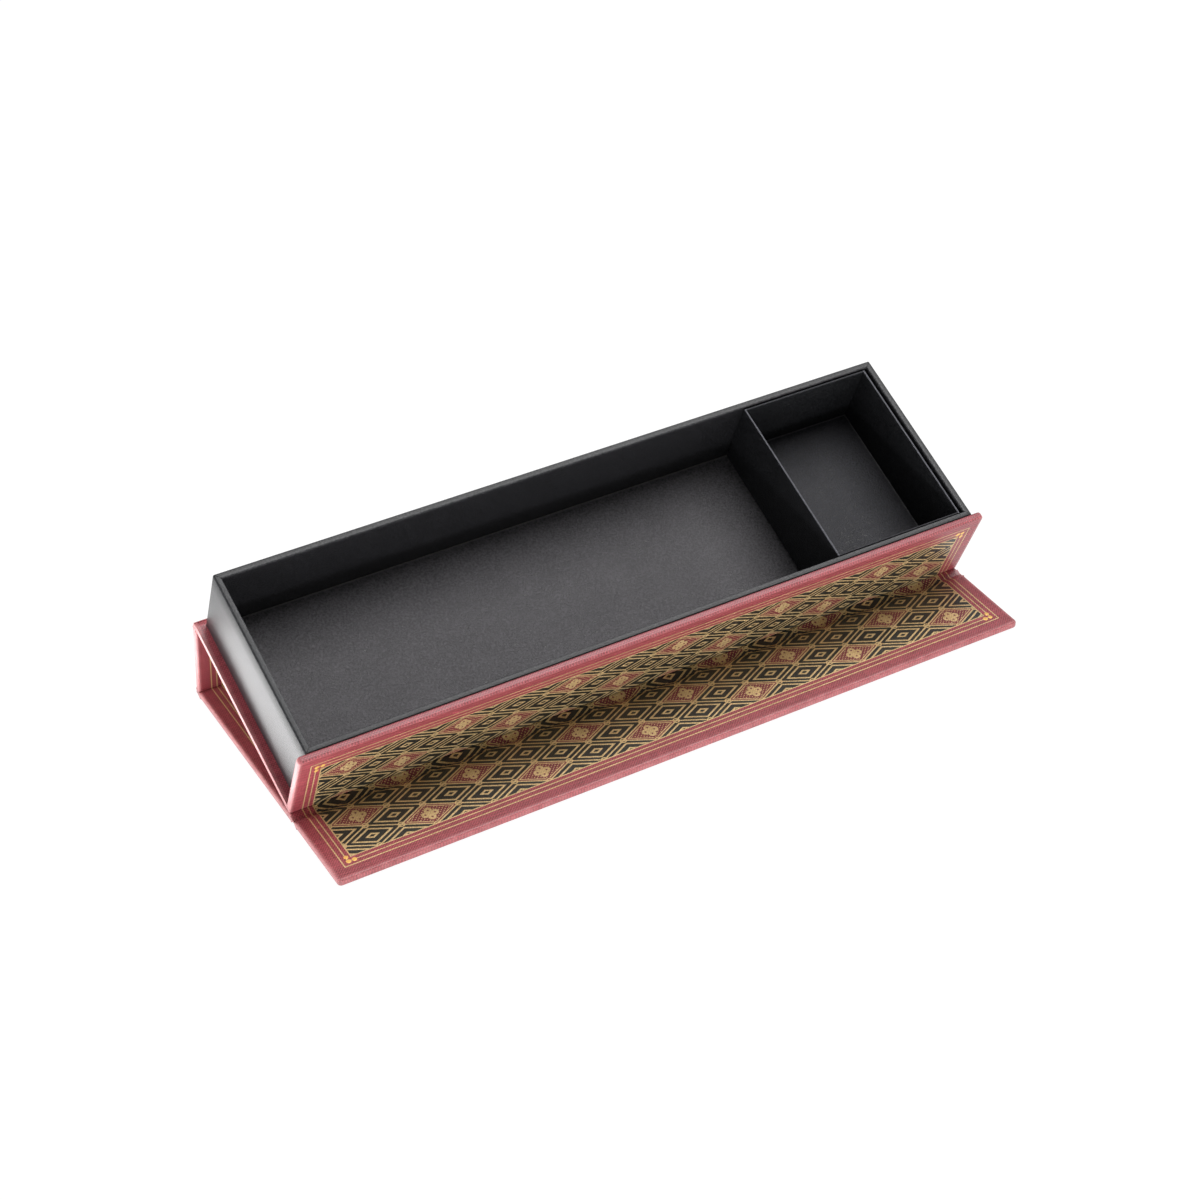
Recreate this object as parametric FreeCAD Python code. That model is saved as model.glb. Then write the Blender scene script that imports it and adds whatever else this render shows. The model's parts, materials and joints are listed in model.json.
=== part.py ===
import FreeCAD, Part
import math
import os
from FreeCAD import Vector

# Pen case: a paper-covered board cover folds round a paper-wrapped tray.
# It is drawn with the cover folded right round underneath, so that the lid and
# the flap lie on the table and the tray stands on them at a slant.
# Sizes are in millimetres and angles in degrees.

# Tray
tray_length = 220.0
tray_depth = 61.4
tray_height = 26.0
wall_board = 1.6
wrap_paper = 0.2
floor_board = 1.0
floor_lining = 0.4
lining_gap = 0.3
wrap_round = 0.6

# Cover panels, from the outside in: printed paper, board, liner
cover_board = 1.9
cover_paper = 0.2
cover_liner = 0.3
end_overhang = 2.9
panel_rise = 0.3
flap_length = 26.8
turn_in = 3.6
edge_round = 0.7
corner_round = 1.2

# Folds. Shut panels clear what they shut on by closed_gap, and the inner face of
# a shut panel stands corner_room past the edge of the panel before it.
closed_gap = 0.3
corner_room = 0.2
fold_gap = 0.3
fold_reach = 4.1
flap_crease_depth = 0.8
crease_bead = 0.25
crease_gap = 0.06

# Rest pose
spine_lean = 7.0
rest_gap = 0.15

# Closing magnets
magnet_radius = 5.0
magnet_thick = 1.2
magnet_offset = 62.0
magnet_gap = 0.1

# Loose insert tray, which lies against the front wall
insert_length = 43.8
insert_end_gap = 1.2
insert_front_gap = 0.15
insert_rear_gap = 0.55
insert_floor_gap = 0.1
insert_drop = 0.25
insert_card = 0.5
insert_round = 0.7
pad_thick = 2.2
pad_gap = 0.3

os.makedirs("parts", exist_ok=True)

# Sizes that follow from the ones above
half_tray = tray_length / 2
half_cover = half_tray + end_overhang
wall = wall_board + 2 * wrap_paper
floor_top = floor_board + floor_lining
shell = cover_board + cover_paper
plate = shell + cover_paper
panel = shell + cover_liner
board_round = edge_round - cover_paper
board_corner = corner_round - cover_paper
shut_reach = panel + corner_room
lid_inside = tray_height + panel_rise + closed_gap
base_edge = tray_depth + closed_gap - corner_room
spine_length = lid_inside - corner_room - (fold_reach - shell)
lid_back = tray_depth + closed_gap + panel - fold_reach
lid_front = corner_room - shell - closed_gap
lid_length = lid_back - lid_front
flap_gap = 2 * (shut_reach - flap_crease_depth)
flap_top = lid_inside + panel - shut_reach


def turn(point, angle):
    c = math.cos(math.radians(angle))
    s = math.sin(math.radians(angle))
    return (point[0] * c - point[1] * s, point[0] * s + point[1] * c)


# The slant of the tray: the rounded front edge of the base rests on the lid and
# the rear edge of the base hangs on the leaning spine.
base_rear_height = panel + (spine_length + fold_gap) * math.cos(math.radians(spine_lean))
run = base_edge + shell - edge_round
rise = base_rear_height - panel - rest_gap - edge_round
tilt = math.degrees(math.asin(rise / math.hypot(run, edge_round)) + math.atan2(edge_round, run))

# Turning of each panel against the one before it, at rest and shut
spine_rest = -(90 + tilt - spine_lean)
lid_rest = -(90 + spine_lean)
shut = 90.0


def crease(rest_angle):
    # The one centre that carries a panel edge from its rest place to its shut place
    rest = turn((fold_gap, 0), rest_angle)
    moved = turn(rest, shut - rest_angle)
    gap = (shut_reach - moved[0], fold_reach - moved[1])
    half = math.radians(shut - rest_angle) / 2
    k = 0.5 / math.tan(half)
    return (gap[0] / 2 - k * gap[1], gap[1] / 2 + k * gap[0])


spine_crease = crease(spine_rest)
lid_crease = crease(lid_rest)
flap_crease = (flap_gap / 2, flap_crease_depth)


def seen_from_child(point, start, angle):
    return turn((point[0] - start[0], point[1] - start[1]), -angle)


spine_tip = seen_from_child(spine_crease, (shut_reach, fold_reach), shut)
lid_tip = seen_from_child(lid_crease, (shut_reach, fold_reach), shut)
flap_tip = (-flap_gap / 2, flap_crease_depth)


def block(x0, x1, y0, y1, z0, z1):
    return Part.makeBox(x1 - x0, y1 - y0, z1 - z0, Vector(x0, y0, z0))


def prism(points, half):
    loop = [Vector(-half, p[0], p[1]) for p in points]
    face = Part.Face(Part.makePolygon(loop + loop[:1]))
    return face.extrude(Vector(2 * half, 0, 0))


def rod(point, radius, half):
    return Part.makeCylinder(radius, 2 * half, Vector(-half, point[0], point[1]), Vector(1, 0, 0))


def rounded(shape, radius, wanted):
    edges = [e for e in shape.Edges if wanted(e.BoundBox)]
    return shape.makeFillet(radius, edges)


hair = 0.001


def near(a, b):
    return abs(a - b) < hair


def at_end(b, half):
    return near(b.XLength, 0) and near(abs(b.Center.x), half)


def inside_rim(b):
    clear_of_ends = abs(b.Center.x) < half_tray - wrap_paper
    return clear_of_ends and b.YMin > wall - hair and b.YMax < tray_depth - wall + hair


def save(shape, name, angle, start):
    shape = shape.copy()
    shape.rotate(Vector(0, 0, 0), Vector(1, 0, 0), angle)
    shape.translate(Vector(0, start[0], start[1]))
    shape.exportStep("parts/" + name + ".step")


# One hinged panel in its own frame: Y runs from its first edge to its far edge,
# Z from its printed face to its lined face.
def panel_board(length):
    half = half_cover - cover_paper
    slab = block(-half, half, 0, length, cover_paper, shell)
    return rounded(slab, board_round, lambda b: near(b.YLength, length) and at_end(b, half))


def panel_plate(length):
    slab = block(-half_cover, half_cover, 0, length, 0, plate)
    return rounded(slab, edge_round, lambda b: near(b.YLength, length) and at_end(b, half_cover))


def panel_liner(length):
    half = half_cover - turn_in
    return block(-half, half, 0, length, shell, panel)


def first_leaf(tip):
    leaf = prism([(0, 0), (0, plate), tip], half_cover)
    return leaf.cut(rod(tip, crease_bead + crease_gap, half_cover))


def far_leaf(edge, low, tip):
    leaf = prism([(edge, low), (edge + tip[0], low + tip[1]), (edge, low + plate)], half_cover)
    return leaf.fuse(rod((edge + tip[0], low + tip[1]), crease_bead, half_cover))


# Where everything stands on the table, before the whole is centred front to back
base_rear = turn((base_edge + shell - edge_round, -edge_round), tilt)
spine_start = (base_rear[0] + fold_gap * math.sin(math.radians(spine_lean)),
               base_rear_height - fold_gap * math.cos(math.radians(spine_lean)))
spine_angle = spine_lean - 90
spine_foot = (spine_start[0] + spine_length * math.sin(math.radians(spine_lean)), panel)
lid_edge = spine_foot[0] - fold_gap
flap_edge = lid_edge - lid_length - flap_gap
front = flap_edge - flap_length
rear = max(spine_foot[0] + panel * math.cos(math.radians(spine_lean)), base_rear[0] + spine_crease[0])
middle = (front + rear) / 2

spine_place = (spine_start[0] - middle, spine_start[1])
lid_place = (lid_edge - middle, panel)
flap_place = (flap_edge - middle, panel)
corner = turn((edge_round - shell, edge_round - shell), tilt)
tray_place = (-corner[0] - middle, panel + rest_gap + edge_round - corner[1])

# Tray: a floor board, four wall boards on it and one black paper wrap that goes
# up the outside, over the rim and down the inside.
inner = half_tray - wall
wrapped = half_tray - wrap_paper
tray_floor = block(-wrapped, wrapped, wrap_paper, tray_depth - wrap_paper, 0, floor_board)
wall_top = tray_height - wrap_paper
wall_in = wrap_paper + wall_board
front_wall = block(-wrapped, wrapped, wrap_paper, wall_in, floor_board, wall_top)
rear_wall = block(-wrapped, wrapped, tray_depth - wall_in, tray_depth - wrap_paper, floor_board, wall_top)
left_wall = block(-wrapped, -wrapped + wall_board, wall_in, tray_depth - wall_in, floor_board, wall_top)
right_wall = block(wrapped - wall_board, wrapped, wall_in, tray_depth - wall_in, floor_board, wall_top)

outside = block(-half_tray, half_tray, 0, tray_depth, 0, tray_height)
outside = rounded(outside, wrap_round, lambda b: near(b.ZLength, tray_height) or near(b.ZMin, tray_height))
cavity = block(-inner, inner, wall, tray_depth - wall, floor_board, tray_height + wall)
wrap = rounded(outside.cut(cavity), wrap_round, lambda b: near(b.ZMin, tray_height) and inside_rim(b))
for solid in (tray_floor, front_wall, rear_wall, left_wall, right_wall):
    wrap = wrap.cut(solid)
lined = inner - lining_gap
lining_front = wall + lining_gap
lining = block(-lined, lined, lining_front, tray_depth - lining_front, floor_board, floor_top)

save(tray_floor, "tray_floor_board", tilt, tray_place)
save(front_wall, "tray_front_wall", tilt, tray_place)
save(rear_wall, "tray_rear_wall", tilt, tray_place)
save(left_wall, "tray_left_wall", tilt, tray_place)
save(right_wall, "tray_right_wall", tilt, tray_place)
save(wrap, "tray_wrap", tilt, tray_place)
save(lining, "tray_floor_lining", tilt, tray_place)

# Base and front panel: two boards glued to the tray, under one printed paper.
# The paper turns in over the ledges at both ends and stops at the tray.
papered = half_cover - cover_paper
panel_top = tray_height + panel_rise
magnet_height = tray_height / 2
base_board = block(-papered, papered, 0, base_edge, -cover_board, 0)
base_board = rounded(base_board, board_round, lambda b: near(b.ZMax, -cover_board) and at_end(b, papered))
front_core = block(-papered, papered, -cover_board, 0, -cover_board, tray_height)
front_core = rounded(front_core, board_corner,
                     lambda b: near(b.YLength, cover_board) and near(b.ZMin, tray_height))
front_core = rounded(front_core, board_round, lambda b: near(b.YMax, -cover_board))


def magnets(y, radius, deep, z, way):
    one = Part.makeCylinder(radius, deep, Vector(magnet_offset, y, z), way)
    two = Part.makeCylinder(radius, deep, Vector(-magnet_offset, y, z), way)
    return Part.makeCompound([one, two])


pocket_radius = magnet_radius + magnet_gap
pocket_deep = magnet_thick + magnet_gap
inward = Vector(0, 1, 0)
front_magnets = magnets(-cover_board, magnet_radius, magnet_thick, magnet_height, inward)
front_board = front_core.cut(magnets(-cover_board, pocket_radius, pocket_deep, magnet_height, inward))

angle_plate = prism([(-shell, panel_top), (-shell, -shell), (base_edge, -shell), (base_edge, cover_paper),
                     (cover_paper, cover_paper), (cover_paper, panel_top)], half_cover)
angle_plate = rounded(angle_plate, corner_round,
                      lambda b: near(b.YLength, plate) and near(b.ZMin, panel_top))
angle_plate = rounded(angle_plate, edge_round,
                      lambda b: near(b.YMax, -shell) or near(b.ZMax, -shell) and at_end(b, half_cover))
angle_plate = rounded(angle_plate, edge_round,
                      lambda b: near(b.YLength, 0) and near(b.YMax, cover_paper)
                      and b.ZMax > panel_top - corner_round)
base_paper = angle_plate.fuse(far_leaf(base_edge, -shell, spine_crease))
base_paper = base_paper.cut(base_board).cut(front_core)
base_paper = base_paper.cut(block(-half_tray, half_tray, 0, tray_depth, 0, panel_top + wall))

save(base_board, "base_board", tilt, tray_place)
save(front_board, "front_panel_board", tilt, tray_place)
save(front_magnets, "front_panel_magnets", tilt, tray_place)
save(base_paper, "base_cover_paper", tilt, tray_place)

# Spine: hinged on the rear edge of the base
spine_board = panel_board(spine_length)
spine_liner = panel_liner(spine_length)
spine_paper = panel_plate(spine_length).fuse(first_leaf(spine_tip))
spine_paper = spine_paper.fuse(far_leaf(spine_length, 0, lid_crease))
spine_paper = spine_paper.cut(spine_board).cut(spine_liner)

save(spine_board, "spine_board", spine_angle, spine_place)
save(spine_paper, "spine_cover_paper", spine_angle, spine_place)
save(spine_liner, "spine_liner", spine_angle, spine_place)

# Lid: hinged on the far edge of the spine, lying with its printed face up
lid_board = panel_board(lid_length)
lid_liner = panel_liner(lid_length)
lid_paper = panel_plate(lid_length).fuse(first_leaf(lid_tip))
lid_paper = lid_paper.fuse(far_leaf(lid_length, 0, flap_crease))
lid_paper = lid_paper.cut(lid_board).cut(lid_liner)

save(lid_board, "lid_board", 180, lid_place)
save(lid_paper, "lid_cover_paper", 180, lid_place)
save(lid_liner, "lid_liner", 180, lid_place)

# Front flap: its free corners are rounded and two magnets sit in its lined side
flap_core = block(-papered, papered, 0, flap_length - cover_paper, cover_paper, shell)
flap_core = rounded(flap_core, board_corner,
                    lambda b: near(b.ZLength, cover_board) and near(b.YMin, flap_length - cover_paper))
flap_core = rounded(flap_core, board_round, lambda b: near(b.ZLength, 0) and b.YMax > corner_round)
flap_plate = block(-half_cover, half_cover, 0, flap_length, 0, plate)
flap_plate = rounded(flap_plate, corner_round,
                     lambda b: near(b.ZLength, plate) and near(b.YMin, flap_length))
flap_plate = rounded(flap_plate, edge_round, lambda b: near(b.ZLength, 0) and b.YMax > corner_round)
flap_liner = block(turn_in - half_cover, half_cover - turn_in, 0, flap_length - turn_in, shell, panel)
flap_paper = flap_plate.fuse(first_leaf(flap_tip)).cut(flap_core).cut(flap_liner)
magnet_from_fold = flap_top - magnet_height
flap_magnets = magnets(magnet_from_fold, magnet_radius, magnet_thick, shell - magnet_thick, Vector(0, 0, 1))
flap_board = flap_core.cut(magnets(magnet_from_fold, pocket_radius, pocket_deep, shell - pocket_deep,
                                   Vector(0, 0, 1)))

save(flap_board, "flap_board", 180, flap_place)
save(flap_paper, "flap_cover_paper", 180, flap_place)
save(flap_liner, "flap_liner", 180, flap_place)
save(flap_magnets, "flap_magnets", 180, flap_place)

# Insert: a loose tray of folded card with a pad on its floor
insert_right = inner - insert_end_gap
insert_left = insert_right - insert_length
insert_front = wall + insert_front_gap
insert_rear = tray_depth - wall - insert_rear_gap
insert_low = floor_top + insert_floor_gap
insert_top = tray_height - insert_drop
insert_box = block(insert_left, insert_right, insert_front, insert_rear, insert_low, insert_top)
insert_box = rounded(insert_box, insert_round, lambda b: near(b.ZMax, insert_low))
insert_room = block(insert_left + insert_card, insert_right - insert_card, insert_front + insert_card,
                    insert_rear - insert_card, insert_low + insert_card, insert_top + wall)
insert_tray = insert_box.cut(insert_room)
pad_in = insert_card + pad_gap
pad_low = insert_low + insert_card
insert_pad = block(insert_left + pad_in, insert_right - pad_in, insert_front + pad_in,
                   insert_rear - pad_in, pad_low, pad_low + pad_thick)

save(insert_tray, "insert_tray", tilt, tray_place)
save(insert_pad, "insert_pad", tilt, tray_place)
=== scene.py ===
import bmesh
import bpy
import json
import math
from mathutils import Euler, Matrix, Vector


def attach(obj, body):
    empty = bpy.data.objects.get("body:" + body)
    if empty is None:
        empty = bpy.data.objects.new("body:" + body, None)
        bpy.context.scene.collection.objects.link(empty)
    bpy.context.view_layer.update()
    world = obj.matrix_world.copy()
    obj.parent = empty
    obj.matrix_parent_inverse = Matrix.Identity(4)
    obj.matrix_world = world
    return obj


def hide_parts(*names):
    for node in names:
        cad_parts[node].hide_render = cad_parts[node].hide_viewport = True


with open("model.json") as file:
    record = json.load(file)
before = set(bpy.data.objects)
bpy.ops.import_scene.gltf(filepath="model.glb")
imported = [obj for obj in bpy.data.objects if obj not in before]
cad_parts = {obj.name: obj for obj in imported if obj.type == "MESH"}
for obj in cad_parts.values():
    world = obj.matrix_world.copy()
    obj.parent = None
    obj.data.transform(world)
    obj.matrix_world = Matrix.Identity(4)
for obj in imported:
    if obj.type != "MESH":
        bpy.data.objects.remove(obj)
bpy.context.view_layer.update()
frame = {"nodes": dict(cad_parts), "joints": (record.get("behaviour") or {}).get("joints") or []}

# Board cores. Grey millboard, die-cut and glued up: the tray's floor and four walls, and
# the flat panels of the cover. The papers hide it, but for a hairline round the floor lining
# and another behind the top edge of the front panel.
board_nodes = [
    "tray_floor_board", "tray_front_wall", "tray_rear_wall", "tray_left_wall", "tray_right_wall",
    "base_board", "front_panel_board", "spine_board", "lid_board", "flap_board",
]
board_grey = (0.36, 0.335, 0.29, 1)
board_fleck = (0.20, 0.18, 0.155, 1)
fibre_scale = 900
fleck_scale = 260
fleck_level = 0.62
fleck_strength = 0.5


class Signal:
    """A shader socket that takes part in arithmetic."""

    def __init__(self, finish, socket):
        self.finish = finish
        self.socket = socket

    def math(self, operation, *values):
        return self.finish.node("Math", {"operation": operation}, dict(enumerate((self,) + values)))

    def __add__(self, other):
        return self.math("ADD", other)

    def __sub__(self, other):
        return self.math("SUBTRACT", other)

    def __rsub__(self, other):
        return self.math("MULTIPLY_ADD", -1, other)

    def __mul__(self, other):
        return self.math("MULTIPLY", other)

    def __truediv__(self, other):
        return self.math("DIVIDE", other)

    def __lt__(self, other):
        return self.math("LESS_THAN", other)

    def __gt__(self, other):
        return self.math("GREATER_THAN", other)

    def __abs__(self):
        return self.math("ABSOLUTE")

    __radd__ = __add__
    __rmul__ = __mul__

    def least(self, other):
        return self.math("MINIMUM", other)

    def most(self, other):
        return self.math("MAXIMUM", other)

    def apart(self, other):
        return (self * self + other * other).math("SQRT")

    def clamped(self):
        return self.finish.node("Clamp", {}, {"Value": self})

    def within(self, width, soft):
        # 1 where this distance from a line's middle lies inside the line, with a soft edge
        return ((width / 2 - abs(self)) / soft + 0.5).clamped()


class Finish:
    """A material, or the light of the room, with the nodes that make its looks."""

    def __init__(self, owner):
        owner.use_nodes = True
        self.owner = owner
        self.tree = owner.node_tree
        self.tree.nodes.clear()

    def node(self, kind, settings, inputs, output=0):
        node = self.tree.nodes.new("ShaderNode" + kind)
        for key, value in settings.items():
            setattr(node, key, value)
        for key, value in inputs.items():
            if isinstance(value, Signal):
                self.tree.links.new(value.socket, node.inputs[key])
            else:
                node.inputs[key].default_value = value
        return Signal(self, node.outputs[output]) if node.outputs else None

    def place(self):
        return self.node("TexCoord", {}, {}, "Object")

    def stretched(self, scale):
        return self.node("Mapping", {}, {"Vector": self.place(), "Scale": scale})

    def noise(self, place, scale, detail=2.0, roughness=0.5):
        inputs = {"Vector": place, "Scale": scale, "Detail": detail, "Roughness": roughness}
        return self.node("TexNoise", {}, inputs)

    def mix(self, factor, first, second):
        colour_a, colour_b, colour_out = 6, 7, 2
        inputs = {0: factor, colour_a: first, colour_b: second}
        return self.node("Mix", {"data_type": "RGBA"}, inputs, colour_out)

    def bump(self, height, depth):
        return self.node("Bump", {}, {"Height": height, "Distance": depth, "Strength": 1.0})

    def shade(self, **sockets):
        # Socket names are written with underscores: Base_Color is Base Color
        named = {key.replace("_", " "): value for key, value in sockets.items()}
        shader = self.node("BsdfPrincipled", {}, named)
        self.node("OutputMaterial", {}, {"Surface": shader})
        return self.owner


def new_finish(name):
    return Finish(bpy.data.materials.new(name))


def coat(nodes, material):
    for node in nodes:
        slots = frame["nodes"][node].data.materials
        slots.clear()
        slots.append(material)


greyboard = new_finish("greyboard")
fibre = greyboard.noise(greyboard.place(), fibre_scale, detail=4, roughness=0.65)
fleck = greyboard.noise(greyboard.place(), fleck_scale, detail=3) > fleck_level
board_tone = greyboard.mix(fibre, board_fleck, board_grey)
coat(board_nodes, greyboard.shade(
    Base_Color=greyboard.mix(fleck * fleck_strength, board_tone, board_fleck),
    Roughness=0.78 + fibre * 0.2,
    Normal=greyboard.bump(fibre, depth=0.00006),
))

# Closing magnets. Four plain nickel-plated discs, two let into pockets in the front panel and
# two in the flap, which hold the flap against the front when the case is shut.
nickel_pale = (0.66, 0.64, 0.60, 1)
nickel_dull = (0.50, 0.48, 0.45, 1)
tarnish_scale = 420
scuff_stretch = (60, 900, 900)
nickel = new_finish("nickel_plate")
tarnish = nickel.noise(nickel.place(), tarnish_scale, detail=3)
scuff = nickel.noise(nickel.stretched(scuff_stretch), 1, detail=3)
coat(["front_panel_magnets", "flap_magnets"], nickel.shade(
    Base_Color=nickel.mix(tarnish, nickel_dull, nickel_pale),
    Metallic=1.0,
    Roughness=0.18 + scuff * 0.22,
    Normal=nickel.bump(scuff, depth=0.00001),
))

# Tray wrap. One sheet of matte black paper, glued up the outside of the walls, over the rim and down
# the inside. Its folds are soft, the rim's inner fold is paler with wear and a painted highlight, a
# painted shade runs along the rim behind the front panel, and it is mitred at the corners.

# Lengths on the pieces are in millimetres, and mm is how many a metre holds; bump depths are
# in metres
mm = 1000
axis_x = Vector((1, 0, 0))
fold_angle = math.radians(40)
flat_angle = math.radians(0.5)
same_point = 1e-6

# The grain of every black paper in the case
grain_scale = 1500
grain_contrast = 4.0
cloud_scale = 90
grain_share = 0.75
paper_roughness = 0.40
grain_roughness = 0.22
grain_depth = 0.00008

# The wrap's own colours, and its lines and wear
wrap_dark = (0.003, 0.003, 0.004, 1)
wrap_pale = (0.024, 0.024, 0.027, 1)
wrap_wear_and_highlight = (0.085, 0.085, 0.090, 1)
line_black = (0.003, 0.003, 0.003, 1)
rim_width = 2.0
fold_reach = 1.1
fold_grain_share = 0.6
# Width, softness and depth of the painted shade along the front of the rim
crevice_shade_width = 0.9
crevice_shade_soft = 0.2
crevice_shade_depth = 1.2
mitre_width = 0.16
mitre_soft = 0.12
mitre_depth = 0.8
mitre_overrun = 0.3
mitre_darkness = 0.9
mitre_sink = 1.5
burnish_skin = 0.5
burnish_depth = 6.0
rim_skin = 0.2
rim_burnish = 0.3
line_dullness = 0.35
burnish_gloss = 0.12

# The slant of the spine and of the tray, from the folds that shut the case
joints = {joint["name"]: joint for joint in frame["joints"]}
lean = math.radians(joints["lid_fold"]["range_deg"][1] - 180)
tilt = math.radians(joints["spine_fold"]["range_deg"][1] - 180) + lean


def axis_y(angle):
    return Vector((0, math.cos(angle), math.sin(angle)))


def axis_z(angle):
    return Vector((0, -math.sin(angle), math.cos(angle)))


def turned_box(node, angle):
    # Lowest and highest corners of a node, in the frame of a panel turned about X, in millimetres
    back = Matrix.Rotation(-angle, 3, "X")
    points = [back @ vertex.co * mm for vertex in frame["nodes"][node].data.vertices]
    return Vector(map(min, zip(*points))), Vector(map(max, zip(*points)))


def measured(finish, axis):
    # Millimetres along an axis, from the origin
    inputs = {0: finish.place(), 1: axis}
    return finish.node("VectorMath", {"operation": "DOT_PRODUCT"}, inputs, "Value") * mm


def in_from_edges(finish, node):
    # Millimetres in from the ends, from the front and rear, and down from the top of a tray piece
    low, high = turned_box(node, tilt)
    x, y, z = [measured(finish, axis) for axis in (axis_x, axis_y(tilt), axis_z(tilt))]
    return (x - low.x).least(high.x - x), (y - low.y).least(high.y - y), high.z - z


def papered(node, name, top_round=0.0):
    # A piece with the node's form, its facets joined and its folds smooth; top_round, where it
    # is given, rounds the top edges
    mesh = frame["nodes"][node].data.copy()
    mesh.name = name
    mesh.materials.clear()
    form = bmesh.new()
    form.from_mesh(mesh)
    bmesh.ops.remove_doubles(form, verts=form.verts, dist=same_point)
    bmesh.ops.dissolve_limit(form, angle_limit=flat_angle, verts=form.verts, edges=form.edges)
    if top_round:
        top = turned_box(node, tilt)[1].z / mm - same_point
        rim = [edge for edge in form.edges
               if all(axis_z(tilt).dot(end.co) > top for end in edge.verts)]
        bmesh.ops.bevel(form, geom=rim, offset=top_round / mm, segments=3, profile=0.5, affect="EDGES")
    for face in form.faces:
        face.smooth = True
    form.to_mesh(mesh)
    form.free()
    if "custom_normal" in mesh.attributes:
        mesh.attributes.remove(mesh.attributes["custom_normal"])
    mesh.set_sharp_from_angle(angle=fold_angle)
    piece = bpy.data.objects.new(name, mesh)
    bpy.context.scene.collection.objects.link(piece)
    return piece


def stands_for(piece, node, body, material):
    piece.data.materials.append(material)
    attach(piece, body)
    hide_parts(node)


def black_paper(name, dark, pale):
    # Paper with a fine sharp grain and broad faint clouds; a speckle breaks up wear and gloss
    finish = new_finish(name)
    place = finish.place()
    specks = finish.noise(place, grain_scale, detail=4, roughness=0.7)
    finish.grain = ((specks - 0.5) * grain_contrast + 0.5).clamped()
    finish.cloud = finish.noise(place, cloud_scale, detail=3)
    paleness = finish.grain * grain_share + finish.cloud * (1 - grain_share)
    finish.tone = finish.mix(paleness, dark, pale)
    finish.dull = paper_roughness + finish.grain * grain_roughness
    finish.relief = finish.bump(finish.grain, grain_depth)
    finish.speckle = finish.grain * 0.5 + 0.5
    return finish


wrap = black_paper("black_wrap_paper", wrap_dark, wrap_pale)
from_end, from_side, below_rim = in_from_edges(wrap, "tray_wrap")
from_outside = from_end.least(from_side)
from_fold = (from_outside - rim_width).apart(below_rim)
# The inner fold of the rim is paler: rubbed wear, and a painted highlight where the rounded fold
# catches the light
fold_patchiness = wrap.grain * fold_grain_share + wrap.cloud * (1 - fold_grain_share)
fold_wear_and_highlight = (1 - from_fold / fold_reach).clamped() * fold_patchiness

# Painted shade: a dark line on the rim's front fold, where the front panel shades the crevice between
# them; and the dark mitres at the rim's corners
behind_front = measured(wrap, axis_y(tilt)) - turned_box("tray_wrap", tilt)[0].y
painted_crevice_shade = behind_front.within(crevice_shade_width, crevice_shade_soft) * (from_end > crevice_shade_width)
painted_crevice_shade = painted_crevice_shade * (below_rim < crevice_shade_depth)
mitre = (from_end - from_side).within(mitre_width, mitre_soft) * (below_rim < mitre_depth)
mitre = mitre * (from_outside < rim_width + mitre_overrun)
dark_line = (mitre * mitre_darkness).most(painted_crevice_shade)

# The walls shine outside, more so further below the rim, and the rim's top shines a little
burnished = (from_outside < burnish_skin) * (below_rim / burnish_depth).clamped()
burnished = burnished.most((below_rim < rim_skin) * rim_burnish)
wrap_tone = wrap.mix(dark_line, wrap.mix(fold_wear_and_highlight, wrap.tone, wrap_wear_and_highlight), line_black)
stands_for(papered("tray_wrap", "tray_wrap_paper"), "tray_wrap", "tray", wrap.shade(
    Base_Color=wrap_tone,
    Roughness=wrap.dull + dark_line * line_dullness - burnished * burnish_gloss,
    Specular_IOR_Level=0.45,
    Coat_Weight=burnished * (1 - dark_line) * wrap.speckle,
    Coat_Roughness=0.38,
    Coat_IOR=1.6,
    Sheen_Weight=0.06,
    Sheen_Roughness=0.35,
    Sheen_Tint=(0.95, 0.97, 1.0, 1),
    Normal=wrap.bump(wrap.grain - mitre * mitre_sink, grain_depth),
))

# Floor lining. A card covered in the same black paper, dropped into the tray and glued; the thin pale
# line along its edge, at the foot of the walls, is a painted highlight.
lining_dark = (0.010, 0.0095, 0.0105, 1)
lining_pale = (0.120, 0.113, 0.124, 1)
pale_edge_tone = (0.135, 0.132, 0.140, 1)
lining_edge = 0.9
lining_edge_soft = 0.3


def pale_edge(finish, node):
    # 1 along the four edges of a flat piece of the tray, broken up unevenly
    from_end, from_side = in_from_edges(finish, node)[:2]
    return from_end.least(from_side).within(lining_edge, lining_edge_soft) * finish.speckle


lining = black_paper("black_lining_paper", lining_dark, lining_pale)
# Painted highlight: the pale line along the lining's edge, where light would catch it at the foot of
# the walls
coat(["tray_floor_lining"], lining.shade(
    Base_Color=lining.mix(pale_edge(lining, "tray_floor_lining"), lining.tone, pale_edge_tone),
    Roughness=lining.dull,
    Normal=lining.relief,
))

# Cover papers. One printed sheet of wine-red satin paper runs over the front panel, base,
# spine, lid and flap and turns in at the edges; it carries gold fillet lines and a gilt diaper.

# The print: fillet lines, lattice, rosettes, nested lines, flowers and seeds
fillet_lines = (4.0, 5.7, 7.2)
fillet_width = 0.34
print_soft = 0.08
lozenge_columns = 12
lozenge_rows = 22
lattice_width = 0.46
rosette_width = 2.1
rosette_ring = 0.55
rosette_ring_width = 0.26
rosette_clear = 1.3
nest_pitch = 1.9
nest_width = 0.55
nest_start = 0.74
petal_reach = 1.45
petal_width = 2.3
petal_eye = 0.62
heart_width = 0.8
flower_line = 0.75
flower_line_width = 0.3
seed_pitch = 1.15
seed_width = 0.38
seed_from_petal = 1.25
seed_from_rim = 1.0

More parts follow.
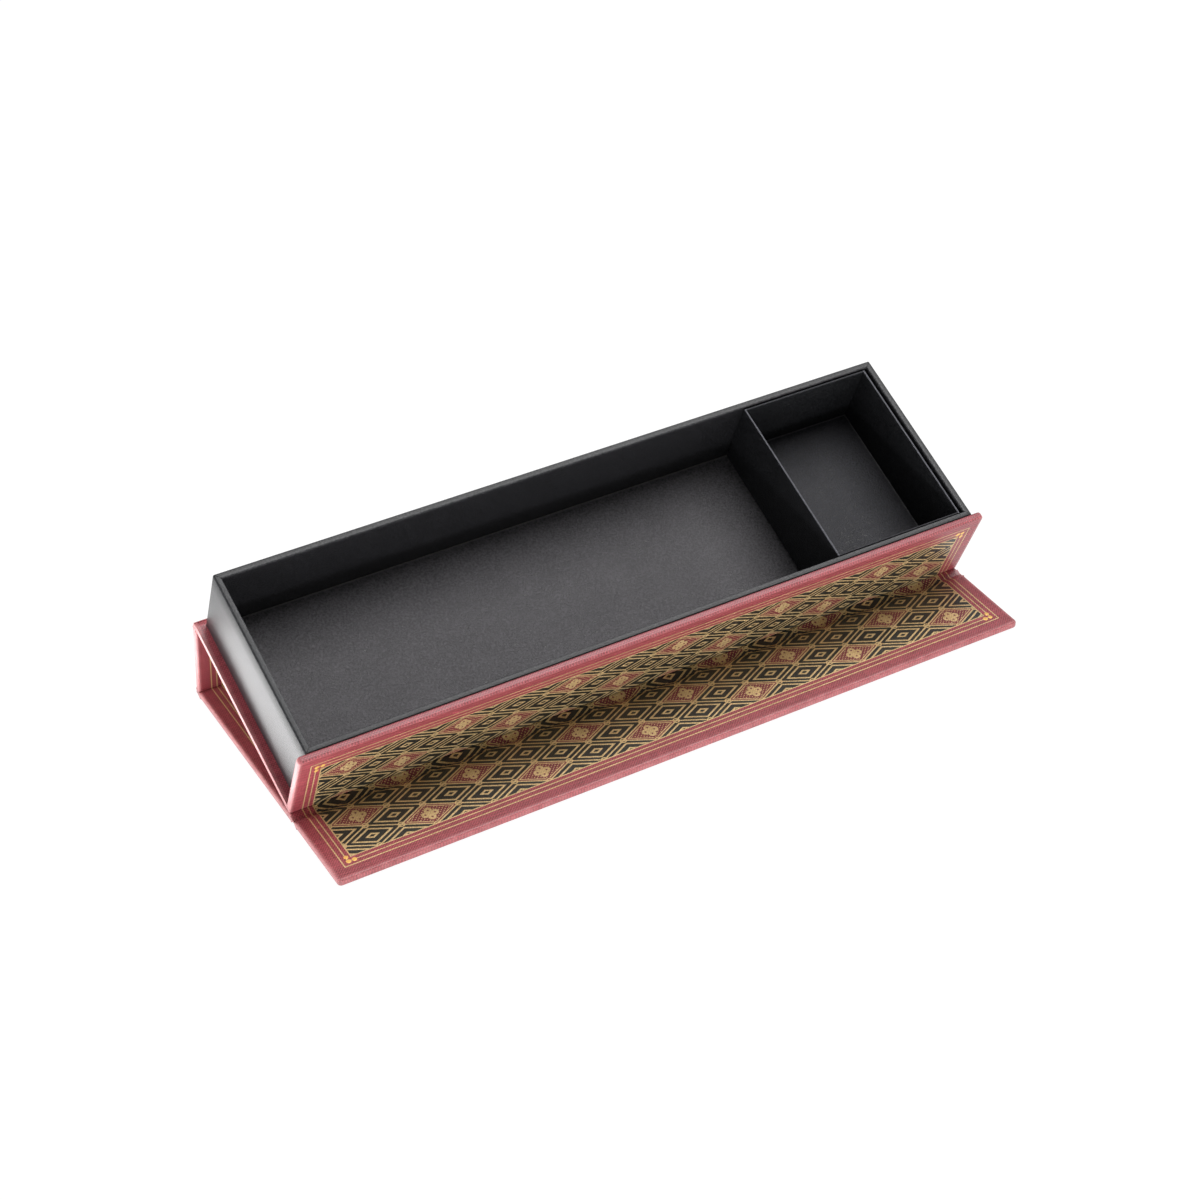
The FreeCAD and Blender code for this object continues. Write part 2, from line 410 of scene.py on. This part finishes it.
# The paper: the length in a fold, linen grain, wear, gloss and the lie of the gold
fold_paper = 3.5
facing_out = 0.15
linen_pitch = 0.9
linen_wander = 3
linen_contrast = 2.4
linen_depth = 0.00006
warp_stretch = (120, 2600, 2600)
warp_share = 0.6
weft_stretch = (2600, 260, 260)
weave_share = 0.55
patch_scale = 340
patch_share = 0.2
edge_reach = 1.2
edge_wear = 0.7
end_wear = 0.3
end_gloss = 0.3
paper_gloss = 0.24
gold_metal = 0.35
gold_patch = 0.6
gold_raised = 0.4

# The colours
wine_deep = (0.120, 0.016, 0.019, 1)
wine_pale = (0.475, 0.085, 0.107, 1)
wine_rubbed = (0.58, 0.24, 0.24, 1)
field_black = (0.009, 0.011, 0.009, 1)
field_maroon = (0.175, 0.022, 0.034, 1)
gold_deep = (0.42, 0.28, 0.105, 1)
gold_pale = (0.90, 0.68, 0.36, 1)

# Where the sheet runs on each panel, and the way that its printed side faces
spine_turn = lean - math.pi / 2
lid_turn = math.pi
front_low, front_high = turned_box("base_cover_paper", tilt)
sheet_length = front_high.z - front_low.z + turned_box("base_board", tilt)[1].y - front_low.y
runs = {"base_cover_paper": (axis_y(tilt) - axis_z(tilt), front_high.z - front_low.y)}
printed_sides = {"base_cover_paper": -axis_y(tilt) - axis_z(tilt)}
for node, board, angle in (("spine_cover_paper", "spine_board", spine_turn),
                           ("lid_cover_paper", "lid_board", lid_turn),
                           ("flap_cover_paper", "flap_board", lid_turn)):
    low, high = turned_box(board, angle)
    runs[node] = (axis_y(angle), sheet_length + fold_paper - low.y)
    printed_sides[node] = -axis_z(angle)
    sheet_length += fold_paper + high.y - low.y
half_cover = front_high.x
lozenge_wide = 2 * (half_cover - fillet_lines[-1]) / lozenge_columns
lozenge_high = (sheet_length - 2 * fillet_lines[-1]) / lozenge_rows


def mark_printed(mesh, printed_side):
    # 1 on the faces that look outwards, 0 where the sheet turns in and inside the creases
    printed = mesh.attributes.new("printed", "FLOAT", "FACE")
    for face in mesh.polygons:
        printed.data[face.index].value = float(face.normal.dot(printed_side) > facing_out)


def printed_paper(name, run, start):
    finish = new_finish(name)
    across = measured(finish, axis_x)
    along = measured(finish, run) + start
    printed = finish.node("Attribute", {"attribute_name": "printed"}, {}, "Fac")

    # Distance in from the ends of the case, and from the two edges of the sheet
    from_end = half_cover - abs(across)
    from_edge = along.least(sheet_length - along)
    inset = from_end.least(from_edge)
    gold = (inset - fillet_lines[0]).within(fillet_width, print_soft)
    for line in fillet_lines[1:]:
        gold = gold.most((inset - line).within(fillet_width, print_soft))
    gold = gold * printed
    field = (inset > fillet_lines[-1]) * printed

    # The diaper: a lattice of lozenges, one in four maroon, with a rosette on each crossing
    columns = across / lozenge_wide
    rows = (along - sheet_length / 2) / lozenge_high
    rising = columns + rows + 0.5
    falling = columns - rows + 0.5
    in_rising = rising.math("FRACT") - 0.5
    in_falling = falling.math("FRACT") - 0.5
    unit = 1 / math.hypot(1 / lozenge_wide, 1 / lozenge_high)
    rim = unit / 2 - abs(in_rising).most(abs(in_falling)) * unit
    odd_row = (rising.math("FLOOR") + falling.math("FLOOR")).math("PINGPONG", 1)
    maroon = odd_row * falling.math("FLOOR").math("PINGPONG", 1)
    to_rising = rising - rising.math("ROUND")
    to_falling = falling - falling.math("ROUND")
    crossing = ((to_rising + to_falling) * (lozenge_wide / 2)).apart(
        (to_rising - to_falling) * (lozenge_high / 2))
    rosette = crossing.within(rosette_width, print_soft)
    rosette = rosette - (crossing - rosette_ring).within(rosette_ring_width, print_soft)
    lattice = rim.within(lattice_width, print_soft).most(rosette)

    # Black lozenges: fine lines nested one in another
    nest = ((rim / nest_pitch + 0.5 - nest_start).math("FRACT") - 0.5) * nest_pitch
    nested = nest.within(nest_width, print_soft)

    # Maroon lozenges: a four-petalled flower on a ground of seeds, inside one fine line
    side = abs(in_rising + in_falling) * (lozenge_wide / 2)
    rise = abs(in_rising - in_falling) * (lozenge_high / 2)
    petal = (side.most(rise) - petal_reach).apart(side.least(rise))
    flower = petal.within(petal_width, print_soft) - petal.within(petal_eye, print_soft)
    flower = flower.most(side.apart(rise).within(heart_width, print_soft))
    flower = flower.most((rim - flower_line).within(flower_line_width, print_soft))
    slant = ((across + along) / seed_pitch).math("FRACT") - 0.5
    counter = ((across - along) / seed_pitch).math("FRACT") - 0.5
    seeds = (slant.apart(counter) * (seed_pitch / math.sqrt(2))).within(seed_width, print_soft)
    seeds = seeds * (petal > seed_from_petal) * (rim > seed_from_rim)
    motif = finish.node("Mix", {}, {"Factor": maroon, "A": nested, "B": flower.most(seeds)})
    gold = gold.most(field * lattice.most(motif * (crossing > rosette_clear)))

    # The paper has a fine linen grain and rubbed edges, and the gold is a little uneven
    warp = finish.noise(finish.stretched(warp_stretch), 1, detail=3, roughness=0.6)
    weft = finish.noise(finish.stretched(weft_stretch), 1, detail=3, roughness=0.6)
    patch = finish.noise(finish.place(), patch_scale, detail=3)
    thread = 2 * math.pi / linen_pitch
    weave = (across * thread + weft * linen_wander).math("SINE")
    weave = weave * (along * thread + warp * linen_wander).math("SINE")
    fibres = warp * warp_share + weft * (1 - warp_share) - 0.5
    linen = (fibres * linen_contrast + weave * weave_share + 0.5).clamped()
    worn = (1 - inset / edge_reach).clamped() * patch * edge_wear
    worn = worn + (1 - from_end / edge_reach).clamped() * end_wear
    wine = finish.mix(linen * (1 - patch_share) + patch * patch_share, wine_deep, wine_pale)
    wine = finish.mix(worn, wine, wine_rubbed)
    ground = finish.mix(field, wine, finish.mix(maroon, field_black, field_maroon))
    gilt = finish.mix(patch * gold_patch + linen * (1 - gold_patch), gold_deep, gold_pale)
    return finish.shade(
        Base_Color=finish.mix(gold, ground, gilt),
        Metallic=gold * gold_metal,
        Roughness=0.40 + linen * 0.14,
        Coat_Weight=(from_end < edge_reach) * end_gloss + paper_gloss,
        Coat_Roughness=0.36,
        Coat_IOR=1.7,
        Sheen_Weight=0.06,
        Sheen_Roughness=0.35,
        Normal=finish.bump(linen + gold * gold_raised, linen_depth),
    )


for node, body in (("base_cover_paper", "tray"), ("spine_cover_paper", "spine"),
                   ("lid_cover_paper", "lid"), ("flap_cover_paper", "flap")):
    sheet = papered(node, node.replace("cover_paper", "printed_paper"))
    mark_printed(sheet.data, printed_sides[node])
    stands_for(sheet, node, body, printed_paper(node + "_print", *runs[node]))

# Foil dots. Three small dots of bright gold foil, blocked into each outer corner of the print
# on the front panel and on the flap, where the fillet lines cross.
dot_radius = 0.74
dot_rise = 0.05
dot_inset = 5.85
dot_step = 1.75
foil_deep = (0.78, 0.42, 0.09, 1)
foil_pale = (1.0, 0.68, 0.22, 1)
crinkle_scale = 2400
foil = new_finish("gold_foil")
crinkle = foil.noise(foil.place(), crinkle_scale)
foil_finish = foil.shade(
    Base_Color=foil.mix(crinkle, foil_deep, foil_pale),
    Metallic=0.25,
    Roughness=0.22 + crinkle * 0.2,
    Normal=foil.bump(crinkle, depth=0.00001),
)

dotting = bpy.data.node_groups.new("foil_dots", "GeometryNodeTree")
dotting.interface.new_socket("Geometry", in_out="INPUT", socket_type="NodeSocketGeometry")
dot_inputs = {
    name: dotting.interface.new_socket(name, in_out="INPUT", socket_type="NodeSocketFloat")
    for name in ("Radius", "Rise", "Turn")
}
dotting.interface.new_socket("Geometry", in_out="OUTPUT", socket_type="NodeSocketGeometry")


def dot_node(kind, **values):
    # A node of the dotting tree, with the values or the links of its sockets
    node = dotting.nodes.new(kind)
    for key, value in values.items():
        socket = node.inputs[key]
        if isinstance(value, bpy.types.NodeSocket):
            dotting.links.new(value, socket)
        else:
            socket.default_value = value
    return node.outputs


sizes = dot_node("NodeGroupInput")
ball = dot_node("GeometryNodeMeshUVSphere", Segments=20, Rings=10, Radius=sizes["Radius"])["Mesh"]
flatten = dot_node("ShaderNodeCombineXYZ", X=1.0, Y=1.0, Z=sizes["Rise"])["Vector"]
dome = dot_node("GeometryNodeTransform", Geometry=ball, Scale=flatten)["Geometry"]
panel_turn = dot_node("ShaderNodeCombineXYZ", X=sizes["Turn"])["Vector"]
uneven = dot_node("FunctionNodeRandomValue", Min=0.92, Max=1.06, Seed=7)["Value"]
dots = dot_node("GeometryNodeInstanceOnPoints", Points=sizes["Geometry"], Instance=dome,
                Rotation=panel_turn, Scale=uneven)["Instances"]
real = dot_node("GeometryNodeRealizeInstances", Geometry=dots)["Geometry"]
foiled = dot_node("GeometryNodeSetMaterial", Geometry=real, Material=foil_finish)["Geometry"]
dot_node("NodeGroupOutput", Geometry=foiled)


def foil_dots(name, body, turn, down, edge, face):
    # Three dots in both corners of a panel: edge is where its free edge lies, down runs in from
    # there, and face is the height of its printed face
    far = dot_inset + dot_step
    corner = ((dot_inset, dot_inset), (far, dot_inset), (dot_inset, far))
    points = [Vector((side * (half_cover - end), 0, 0)) + edge + down * inward
              for side in (-1, 1) for end, inward in corner]
    mesh = bpy.data.meshes.new(name)
    mesh.from_pydata([(point + face) / mm for point in points], [], [])
    carrier = bpy.data.objects.new(name + "_points", mesh)
    bpy.context.scene.collection.objects.link(carrier)
    modifier = carrier.modifiers.new("dots", "NODES")
    modifier.node_group = dotting
    wanted = {"Radius": dot_radius / mm, "Rise": dot_rise / dot_radius, "Turn": turn}
    for key, value in wanted.items():
        modifier[dot_inputs[key].identifier] = value
    evaluated = carrier.evaluated_get(bpy.context.evaluated_depsgraph_get())
    piece = bpy.data.objects.new(name, bpy.data.meshes.new_from_object(evaluated))
    bpy.context.scene.collection.objects.link(piece)
    bpy.data.objects.remove(carrier)
    for polygon in piece.data.polygons:
        polygon.use_smooth = True
    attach(piece, body)


foil_dots("front_foil_dots", "tray", tilt + math.pi / 2, -axis_z(tilt),
          axis_z(tilt) * front_high.z, axis_y(tilt) * front_low.y)
flap_low, flap_high = turned_box("flap_cover_paper", 0)
foil_dots("flap_foil_dots", "flap", 0, axis_y(0), axis_y(0) * flap_low.y, axis_z(0) * flap_high.z)

# Liners. Plain dark paper pasted over the inside of the spine, lid and flap, a little smaller
# than the panels, so that a border of the turned-in cover paper frames it.
liner_dark = (0.018, 0.016, 0.017, 1)
liner_pale = (0.050, 0.046, 0.048, 1)
liner_paper = black_paper("dark_liner_paper", liner_dark, liner_pale)
coat(["spine_liner", "lid_liner", "flap_liner"], liner_paper.shade(
    Base_Color=liner_paper.tone,
    Roughness=liner_paper.dull,
    Normal=liner_paper.relief,
))

# Insert tray and pad. A loose little tray of folded black card for cartridges or nibs, with a painted
# grey highlight along the folded tops of its walls, strongest on its two side walls, and a pad of the
# same card on its floor.
card_dark = (0.003, 0.003, 0.004, 1)
card_pale = (0.024, 0.025, 0.027, 1)
card_fold_highlight = (0.15, 0.15, 0.17, 1)
pad_dark = (0.005, 0.005, 0.006, 1)
pad_pale = (0.035, 0.034, 0.043, 1)
card_round = 0.2
side_wall = 0.6
top_fold_width = 0.5
top_fold_soft = 0.15
fold_highlight = 0.25
side_fold_highlight = 0.75
card_speckle = 0.4
pad_wear = 0.6
card = black_paper("black_card", card_dark, card_pale)
from_card_end, below_card_top = in_from_edges(card, "insert_tray")[::2]
# Painted highlight: the folded tops of the walls are paler, most of all on the two side walls, broken
# up by the grain
top_fold = below_card_top.within(top_fold_width, top_fold_soft)
top_fold = top_fold * ((from_card_end < side_wall) * side_fold_highlight + fold_highlight)
card_highlight = top_fold * (card.grain * card_speckle + (1 - card_speckle))
card_finish = card.shade(
    Base_Color=card.mix(card_highlight, card.tone, card_fold_highlight),
    Roughness=card.dull,
    Specular_IOR_Level=0.22,
    Normal=card.relief,
)
card_tray = papered("insert_tray", "insert_card_tray", card_round)
stands_for(card_tray, "insert_tray", "insert", card_finish)
pad = black_paper("black_pad_card", pad_dark, pad_pale)
coat(["insert_pad"], pad.shade(
    Base_Color=pad.mix(pale_edge(pad, "insert_pad") * pad_wear, pad.tone, pale_edge_tone),
    Roughness=pad.dull,
    Specular_IOR_Level=0.4,
    Normal=pad.relief,
))

# Table. A wide white sheet under the case that stays white to the eye and in reflections and
# still takes the case's shadow.
table_size = 8.0
table_white = (0.86, 0.86, 0.86, 1)
table_shadow = (0.09, 0.09, 0.09, 1)
table_glow = 0.965
table_mesh = bpy.data.meshes.new("table")
reach = table_size / 2
table_corners = [(-reach, -reach, 0), (reach, -reach, 0), (reach, reach, 0), (-reach, reach, 0)]
table_mesh.from_pydata(table_corners, [], [(0, 1, 2, 3)])
table = bpy.data.objects.new("table", table_mesh)
bpy.context.scene.collection.objects.link(table)
sheet_white = new_finish("white_table")


def looked_at(finish):
    # 1 for what the camera sees, straight or by way of a gloss or a glass
    straight, gloss, glass = [
        finish.node("LightPath", {}, {}, ray)
        for ray in ("Is Camera Ray", "Is Glossy Ray", "Is Transmission Ray")
    ]
    return straight.most(gloss).most(glass)


glow = sheet_white.node("Emission", {}, {"Color": (1, 1, 1, 1), "Strength": table_glow})
shadowed = sheet_white.node("BsdfDiffuse", {}, {"Color": table_shadow})
shown = sheet_white.node("AddShader", {}, {0: glow, 1: shadowed})
plain = sheet_white.node("BsdfDiffuse", {}, {"Color": table_white})
surface = sheet_white.node("MixShader", {}, {0: looked_at(sheet_white), 1: plain, 2: shown})
sheet_white.node("OutputMaterial", {}, {"Surface": surface})
table_mesh.materials.append(sheet_white.owner)

# Light. A room that is white round the table and dark overhead, one large soft lamp above on
# the right, low soft strips on the left and in front, and a fill and a card by the left end.
room_low = 0.95
room_high = 0.12
room_bend = 0.40
room = Finish(bpy.data.worlds.new("studio_room"))
outlook = room.node("TexCoord", {}, {}, "Generated")
upward = room.node("SeparateXYZ", {}, {0: outlook}, "Z")
low_air = (1 - upward / room_bend).clamped()
strength = low_air * (room_low - room_high) + room_high
backdrop = room.node("Background", {}, {"Color": (1, 1, 1, 1), "Strength": strength})
room.node("OutputWorld", {}, {"Surface": backdrop})
bpy.context.scene.world = room.owner


def soft_lamp(name, place, aim, size, power, mirrored=True):
    light = bpy.data.lights.new(name, "AREA")
    light.shape = "RECTANGLE"
    light.size, light.size_y = size
    light.energy = power
    lamp = bpy.data.objects.new(name, light)
    lamp.location = place
    lamp.rotation_euler = (Vector(aim) - Vector(place)).to_track_quat("-Z", "Y").to_euler()
    lamp.visible_camera = False
    lamp.visible_glossy = mirrored
    bpy.context.scene.collection.objects.link(lamp)


soft_lamp("overhead_lamp", place=(0.33, 0.06, 0.95), aim=(0, 0, 0.02), size=(0.7, 0.7), power=10.0)
soft_lamp("left_strip", place=(-0.50, 0.02, 0.009), aim=(0, 0.02, 0.009), size=(1.1, 0.014),
          power=1.6, mirrored=False)
soft_lamp("front_strip", place=(0.02, -0.26, 0.006), aim=(0.02, 0, 0.006), size=(0.4, 0.01),
          power=0.46, mirrored=False)
soft_lamp("left_fill", place=(-0.20, 0.03, 0.07), aim=(-0.11, 0.02, 0), size=(0.06, 0.12),
          power=0.09, mirrored=False)
soft_lamp("bounce_card", place=(-0.1278, -0.0075, 0.0015), aim=(-0.1278, -0.0075, 1),
          size=(0.0155, 0.16), power=0.029)

# Camera. The photograph's view, from the front left and above.
camera_aim = Vector((-0.00169, 0.00474, 0.020))
camera_distance = 0.78544
camera_turn = math.radians(-30.105)
camera_height = math.radians(36.972)
camera_roll = math.radians(-0.179)
lens = bpy.data.cameras.new("camera")
lens.sensor_width = 36.0
lens.lens = 80.486
camera = bpy.data.objects.new("camera", lens)
facing = Euler((math.pi / 2 - camera_height, 0, camera_turn), "XYZ").to_matrix()
camera.rotation_euler = (facing @ Matrix.Rotation(camera_roll, 3, "Z")).to_euler()
camera.location = camera_aim + facing @ Vector((0, 0, camera_distance))
bpy.context.scene.collection.objects.link(camera)
bpy.context.scene.camera = camera
bpy.context.scene.view_settings.view_transform = "Standard"
